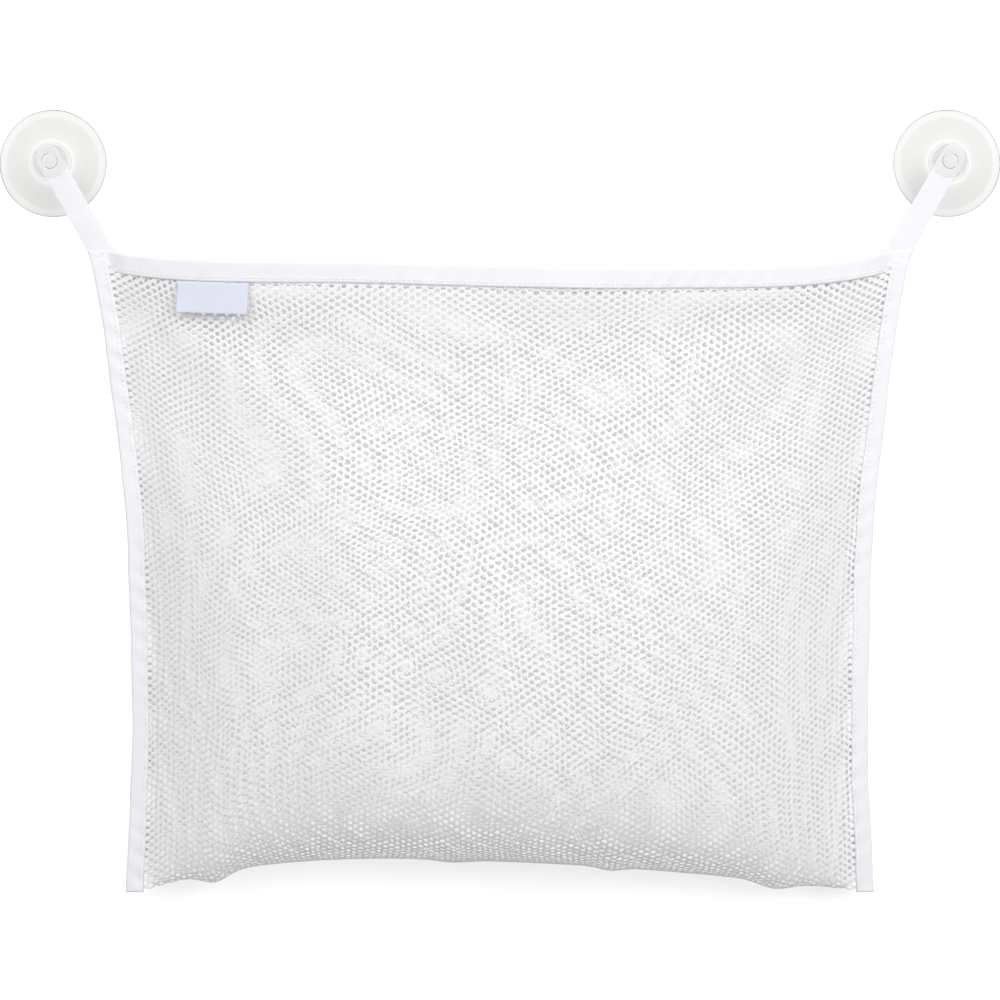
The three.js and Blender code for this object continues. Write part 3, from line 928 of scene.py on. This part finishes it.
# The bar tacks. Close zigzags of the same thread, one that shuts each eye below the cup's head and
# one that fixes each strap's tail into the corner of the bag.
TACK_STITCHES = 9
TACK_INSET = 0.0003
TACK_WIDTH_SHARE = 0.7
TACK_HEIGHT_SHARE = 0.3


def bar_tack(name, node, front):
    """Stitches to and fro over the place of a tack, on a face whose depth front gives."""
    low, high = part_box(node)
    xs = np.linspace(low.x, high.x, 2 * TACK_STITCHES + 1)
    zs = np.where(np.arange(len(xs)) % 2, high.z - TACK_INSET, low.z + TACK_INSET)
    places = np.stack([xs, front(zs), zs], axis=1)
    up = np.array([0.0, -1.0, 0.0])
    stitches = []
    for start, end in zip(places[:-1], places[1:]):
        length = np.linalg.norm(end - start)
        run = (end - start) / length
        shaped = stitch_points * (length / STITCH_LENGTH, TACK_WIDTH_SHARE, TACK_HEIGHT_SHARE)
        stitches.append((start + end) / 2 + shaped @ np.stack([run, np.cross(up, run), up]))
    sewn(name, node, np.array(stitches))


def strap_front(z):
    return np.full_like(z, STRAP_MIDDLE - STRAP_THICKNESS / 2)


def corner_front(z):
    return SEAM_PLANE - side_thickness(z) / 2


for name in ("left", "right"):
    bar_tack(f"{name}_eye_zigzag", f"{name}_eye_tack", strap_front)
    bar_tack(f"{name}_corner_zigzag", f"{name}_corner_tack", corner_front)


# The suction cups. Clear soft vinyl, moulded in one piece: a domed disc with a flat sealing lip, a
# boss, a short neck and a button head that the strap's eye hangs behind.
cup_low, cup_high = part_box("right_suction_cup")
CUP_RADIUS = (cup_high.x - cup_low.x) / 2
CUP_CENTRE = (cup_high.x + cup_low.x) / 2
HEAD_FLATTENING = 0.0026
HEAD_FRONT = cup_low.y + HEAD_FLATTENING
LIP_WIDTH = 0.007
LIP_RADIUS = CUP_RADIUS - LIP_WIDTH
RIM_THICKNESS = 0.0014
FLANGE_RADIUS = 0.86 * CUP_RADIUS
FLANGE_THICKNESS = 0.0028
FLANGE_EASE = 0.0006
HOLLOW_DEPTH = 0.0045
HOLLOW_MIDDLE = 0.0008
DOME_FRONT = -0.0074
DOME_FULLNESS = 0.66
BOSS_RADIUS = 0.0115
BOSS_FRONT = -0.0120
NECK_RADIUS = 0.004
HEAD_RADIUS = 0.0095
HEAD_BACK = -0.0140
HEAD_EDGE = -0.0154
NECK_FILLET = 0.0004
CUP_EDGE = 0.0003
CUP_SIDES = 96
CUP_STEPS = 12
# Painted light and shade in the vinyl's colour: its tone in the head, painted lighter so that the strap
# behind it looks lit, and at shares of the radius from the middle to the rim, in darker and lighter painted
# rings.
HEAD_PAINTED_LIGHT = 0.95
MIDDLE_PAINTED_SHADE = 0.45
RIM_PAINTED_SHADE = 0.55
BOSS_PAINTED_SHADING = ((0.13, 0.45), (0.16, 0.62), (0.29, 0.62), (0.33, 0.80), (0.38, 0.80))
DISC_PAINTED_SHADING = ((0.46, 0.69), (0.62, 0.66), (0.82, 0.66), (0.87, 0.72), (0.96, 0.70))


def rounded(start, pull, end):
    """A round stretch of the cup's profile after its start, as radius and distance from the wall."""
    t = np.linspace(0, 1, CUP_STEPS + 1)[1:, None]
    return (1 - t) ** 2 * np.array(start) + 2 * (1 - t) * t * np.array(pull) + t**2 * np.array(end)


def cup_profile():
    """From the middle of the head's crown, over the dome and the lip, to the middle of the hollow."""
    crown = rounded((0, HEAD_FRONT), (HEAD_RADIUS, HEAD_FRONT), (HEAD_RADIUS, HEAD_EDGE))
    head = [(HEAD_RADIUS, HEAD_BACK + CUP_EDGE), (HEAD_RADIUS - CUP_EDGE, HEAD_BACK)]
    neck = [(NECK_RADIUS + NECK_FILLET, HEAD_BACK), (NECK_RADIUS, HEAD_BACK + NECK_FILLET)]
    boss = rounded((NECK_RADIUS, BOSS_FRONT), (BOSS_RADIUS, BOSS_FRONT), (BOSS_RADIUS, DOME_FRONT))
    dome_pull = (DOME_FULLNESS * CUP_RADIUS, DOME_FRONT)
    dome = rounded((BOSS_RADIUS, DOME_FRONT), dome_pull, (FLANGE_RADIUS, -FLANGE_THICKNESS))
    flange_pull = (FLANGE_RADIUS + FLANGE_EASE, -RIM_THICKNESS - CUP_EDGE)
    flange = rounded(dome[-1], flange_pull, (CUP_RADIUS, -RIM_THICKNESS))
    rim = [(CUP_RADIUS, -CUP_EDGE), (CUP_RADIUS - CUP_EDGE, 0), (LIP_RADIUS, 0)]
    hollow = rounded((LIP_RADIUS, 0), (LIP_RADIUS / 2, -HOLLOW_DEPTH), (HOLLOW_MIDDLE, -HOLLOW_DEPTH))
    return np.vstack([crown, head, neck, [(NECK_RADIUS, BOSS_FRONT)], boss, dome, flange, rim, hollow])


def moulded_cup(name, centre):
    profile = cup_profile()
    radius, depth = profile[0]
    bpy.ops.mesh.primitive_circle_add(
        vertices=CUP_SIDES,
        radius=radius,
        location=(centre, depth, 0),
        rotation=(math.pi / 2, 0, 0),
    )
    cup = bpy.context.object
    cup.name = name
    cup.data.name = name
    bpy.ops.object.transform_apply(location=True, rotation=True, scale=True)
    bpy.ops.object.mode_set(mode="EDIT")
    bpy.ops.mesh.select_all(action="SELECT")
    for next_radius, next_depth in profile[1:]:
        bpy.ops.mesh.extrude_region_move(TRANSFORM_OT_translate={"value": (0, next_depth - depth, 0)})
        scale = next_radius / radius
        bpy.ops.transform.resize(value=(scale, 1, scale), center_override=(centre, next_depth, 0))
        radius, depth = next_radius, next_depth
    bpy.ops.mesh.edge_face_add()
    bpy.ops.mesh.select_all(action="DESELECT")
    bpy.ops.mesh.select_non_manifold()
    bpy.ops.mesh.edge_face_add()
    bpy.ops.object.mode_set(mode="OBJECT")
    face_outwards(cup)
    shade_by_angle(cup, 35)
    return cup


def clear_vinyl():
    """Clear vinyl, a little warm grey of its own, with light and shade painted into its colour in rings
    and a head painted lighter. Light on its way to other pieces goes straight through it, because bent rays
    would leave a solid shadow."""
    material, tree, surface = new_material("clear_soft_vinyl")
    place = add_node(tree, "ShaderNodeTexCoord").outputs["Object"]
    haze = noise(tree, place, 220.0, 3.0)
    split = add_node(tree, "ShaderNodeSeparateXYZ", None, None, {"Vector": place})
    either = math_node(tree, "ABSOLUTE", split.outputs["X"])
    plan = add_node(tree, "ShaderNodeCombineXYZ", None, None, {"X": either, "Z": split.outputs["Z"]})
    radius = add_node(
        tree,
        "ShaderNodeVectorMath",
        {"operation": "DISTANCE"},
        {1: (CUP_CENTRE, 0, 0)},
        {0: plan.outputs["Vector"]},
    ).outputs["Value"]
    haze_shift = math_node(tree, "MULTIPLY_ADD", haze, 0.02, -0.01)
    share = math_node(tree, "MULTIPLY_ADD", radius, 1 / CUP_RADIUS, haze_shift)
    # Painted light and shade: the ramp makes the vinyl lighter and darker in rings by distance from the
    # cup's middle.
    painted_rings = add_node(tree, "ShaderNodeValToRGB", None, None, {"Fac": share})
    stops = painted_rings.color_ramp.elements
    stops[0].color = (MIDDLE_PAINTED_SHADE, MIDDLE_PAINTED_SHADE, MIDDLE_PAINTED_SHADE, 1)
    stops[1].color = (RIM_PAINTED_SHADE, RIM_PAINTED_SHADE, RIM_PAINTED_SHADE, 1)
    for place_out, tone in BOSS_PAINTED_SHADING + DISC_PAINTED_SHADING:
        stops.new(place_out).color = (tone, tone, tone * 0.985, 1)
    # Painted light: the head gets a lighter colour so that the strap seen through it looks lit.
    in_head = math_node(tree, "LESS_THAN", split.outputs["Y"], HEAD_BACK + 0.0001)
    colour = add_node(
        tree,
        "ShaderNodeMix",
        {"data_type": "RGBA"},
        None,
        {"Factor": in_head, "A": painted_rings.outputs["Color"]},
    )
    colour.inputs["B"].default_value = (HEAD_PAINTED_LIGHT, HEAD_PAINTED_LIGHT, HEAD_PAINTED_LIGHT, 1)
    links = {
        "Base Color": colour.outputs["Result"],
        "Roughness": ranged(tree, haze, 0.08, 0.20),
        "Normal": relief(tree, noise(tree, place, 90.0, 2.0), 0.15, 0.0004),
    }
    dress(tree, surface, links, {"Transmission Weight": 1.0, "IOR": 1.5})
    ray = add_node(tree, "ShaderNodeLightPath")
    light = math_node(tree, "MAXIMUM", ray.outputs["Is Shadow Ray"], ray.outputs["Is Diffuse Ray"])
    passed = add_node(tree, "ShaderNodeBsdfTransparent", None, {"Color": (0.97, 0.97, 0.965, 1)})
    lit_through = add_node(
        tree,
        "ShaderNodeMixShader",
        None,
        None,
        {0: light, 1: surface.outputs["BSDF"], 2: passed.outputs["BSDF"]},
    )
    tree.links.new(lit_through.outputs["Shader"], tree.nodes["Material Output"].inputs["Surface"])
    return material


vinyl = clear_vinyl()
for name, side in SIDES:
    cup = moulded_cup(f"{name}_clear_cup", side * CUP_CENTRE)
    cup.data.materials.append(vinyl)
    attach(cup, f"{name}_cup")
    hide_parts(f"{name}_suction_cup")


# The label. A blank pale blue satin ribbon folded in half, its two ends caught under the front hem
# so that it hangs in front of the net, with the fold at the bottom.
LABEL_WIDTH = 0.041
LABEL_HEIGHT = 0.018
LABEL_THICKNESS = 0.0008
LABEL_TILT = math.radians(3)
LABEL_CLEARANCE = 0.0005
RIBBON_THICKNESS = 0.0003
LABEL_CURL = 0.0006
LABEL_WAVE = 0.00025
RIBBON_DARK = (0.71, 0.73, 0.85)
RIBBON_LIGHT = (0.77, 0.79, 0.91)


def label_rings():
    """Sections of the ribbon across the label's width, hung from the line that the label swings about."""
    joint = frame["joints"][3]
    hinge = np.array(joint["pos_m"])
    run = -np.array(joint["axis"])
    back = np.cross((0, 0, 1), run)
    back /= np.linalg.norm(back)
    up = np.cross(run, back)
    hang = -up * math.cos(LABEL_TILT) - back * math.sin(LABEL_TILT)
    out = -back * math.cos(LABEL_TILT) + up * math.sin(LABEL_TILT)
    along = np.linspace(-LABEL_WIDTH / 2, LABEL_WIDTH / 2, 43)[:, None]
    outer = LABEL_THICKNESS / 2
    inner = outer - RIBBON_THICKNESS
    angles = np.linspace(0, np.pi, 7)
    drops = np.linspace(LABEL_CLEARANCE, LABEL_HEIGHT - outer, 12)
    bend_out = np.stack([outer * np.cos(angles), LABEL_HEIGHT - outer + outer * np.sin(angles)], axis=1)
    bend_in = np.stack([inner * np.cos(angles), LABEL_HEIGHT - outer + inner * np.sin(angles)], axis=1)
    legs = [np.stack([np.full(len(drops), t), drops], axis=1) for t in (outer, inner, -inner, -outer)]
    outside = np.vstack([legs[0], bend_out[1:-1], legs[3][::-1]])
    inside = np.vstack([legs[2], bend_in[::-1][1:-1], legs[1][::-1]])
    section = np.vstack([outside, inside])
    drop_share = section[:, 1] / LABEL_HEIGHT
    curl = LABEL_CURL * drop_share**2 * (2 * along / LABEL_WIDTH) ** 2
    wave = LABEL_WAVE * np.sin(150 * along + 0.6) * drop_share
    through = outer + section[:, 0] + curl + wave
    drop = section[:, 1] + np.zeros_like(along)
    return hinge + along[..., None] * run + drop[..., None] * hang + through[..., None] * out


blue_ribbon = woven("pale_blue_satin", RIBBON_DARK, RIBBON_LIGHT, 2600.0, 0.00003, (0.4, 0.55))
label = tape_mesh("blank_label", label_rings())
label.data.materials.append(blue_ribbon)
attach(label, "label_tag")
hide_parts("label")


# The stage. A white wall seen only from the front, soft light from two large panels and an even room,
# one more panel for the back of the bag, and a camera straight in front at the photograph's distance.
WALL_BACK = 0.004
WALL_SIZE = 8.0
WALL_BOOST = 0.35
ROOM_LIGHT = 0.40
PANEL_SIZE = 1.8
SENSOR_WIDTH = 36.0
PHOTO_SPAN = 0.5556
CAMERA_DISTANCE = 1.70
CAMERA_HEIGHT = -0.1883


def seen_rays(tree):
    """1 for what the camera sees, straight or through and in the clear cups, and 0 for light."""
    ray = add_node(tree, "ShaderNodeLightPath").outputs
    seen = math_node(tree, "MAXIMUM", ray["Is Camera Ray"], ray["Is Glossy Ray"])
    return math_node(tree, "MAXIMUM", seen, ray["Is Transmission Ray"])


def wall_paint():
    material, tree, surface = new_material("white_wall_paint")
    tree.nodes.remove(surface)
    output = tree.nodes["Material Output"]
    shade = add_node(tree, "ShaderNodeBsdfDiffuse", None, {"Color": (1, 1, 1, 1)})
    boost = math_node(tree, "MULTIPLY", seen_rays(tree), WALL_BOOST)
    white = add_node(tree, "ShaderNodeEmission", None, None, {"Strength": boost})
    lit = add_node(tree, "ShaderNodeAddShader", None, None, {0: shade.outputs[0], 1: white.outputs[0]})
    clear = add_node(tree, "ShaderNodeBsdfTransparent")
    side = add_node(tree, "ShaderNodeNewGeometry")
    mix = add_node(
        tree,
        "ShaderNodeMixShader",
        None,
        None,
        {0: side.outputs["Backfacing"], 1: lit.outputs[0], 2: clear.outputs[0]},
    )
    tree.links.new(mix.outputs[0], output.inputs["Surface"])
    return material


bpy.ops.mesh.primitive_plane_add(
    size=WALL_SIZE, location=(0, WALL_BACK, CAMERA_HEIGHT), rotation=(math.pi / 2, 0, 0)
)
wall = bpy.context.object
wall.name = "white_wall"
wall.data.materials.append(wall_paint())
wall.visible_diffuse = False
wall.visible_shadow = False

world = bpy.data.worlds.new("even_room")
bpy.context.scene.world = world
world.use_nodes = True
tree = world.node_tree
room = tree.nodes["Background"]
room.inputs["Color"].default_value = (1, 1, 1, 1)
tree.links.new(ranged(tree, seen_rays(tree), ROOM_LIGHT, 1.0), room.inputs["Strength"])


def soft_panel(name, place, power):
    """A square light panel, aimed at the middle of the bag."""
    lamp = bpy.data.lights.new(name, "AREA")
    lamp.size = PANEL_SIZE
    lamp.energy = power
    panel_light = bpy.data.objects.new(name, lamp)
    panel_light.location = place
    aim = Vector((0, SEAM_PLANE, CAMERA_HEIGHT)) - Vector(place)
    panel_light.rotation_euler = aim.to_track_quat("-Z", "Y").to_euler()
    panel_light.visible_glossy = False
    panel_light.visible_transmission = False
    bpy.context.scene.collection.objects.link(panel_light)
    return lamp


soft_panel("left_panel", (-1.3, -1.6, 0.9), 23.0)
soft_panel("right_panel", (1.3, -1.6, 0.7), 30.0)
rear = soft_panel("rear_panel", (0.6, 1.8, 0.9), 32.0)
rear.use_nodes = True
tree = rear.node_tree
ray = add_node(tree, "ShaderNodeLightPath")
first = math_node(tree, "LESS_THAN", ray.outputs["Diffuse Depth"], 0.5)
tree.links.new(first, tree.nodes["Emission"].inputs["Strength"])

lens = bpy.data.cameras.new("camera")
lens.sensor_width = SENSOR_WIDTH
lens.lens = SENSOR_WIDTH * CAMERA_DISTANCE / PHOTO_SPAN
camera = bpy.data.objects.new("camera", lens)
camera.location = (0, SEAM_PLANE - CAMERA_DISTANCE, CAMERA_HEIGHT)
camera.rotation_euler = (math.pi / 2, 0, 0)
bpy.context.scene.collection.objects.link(camera)
bpy.context.scene.camera = camera
bpy.context.scene.view_settings.view_transform = "Standard"
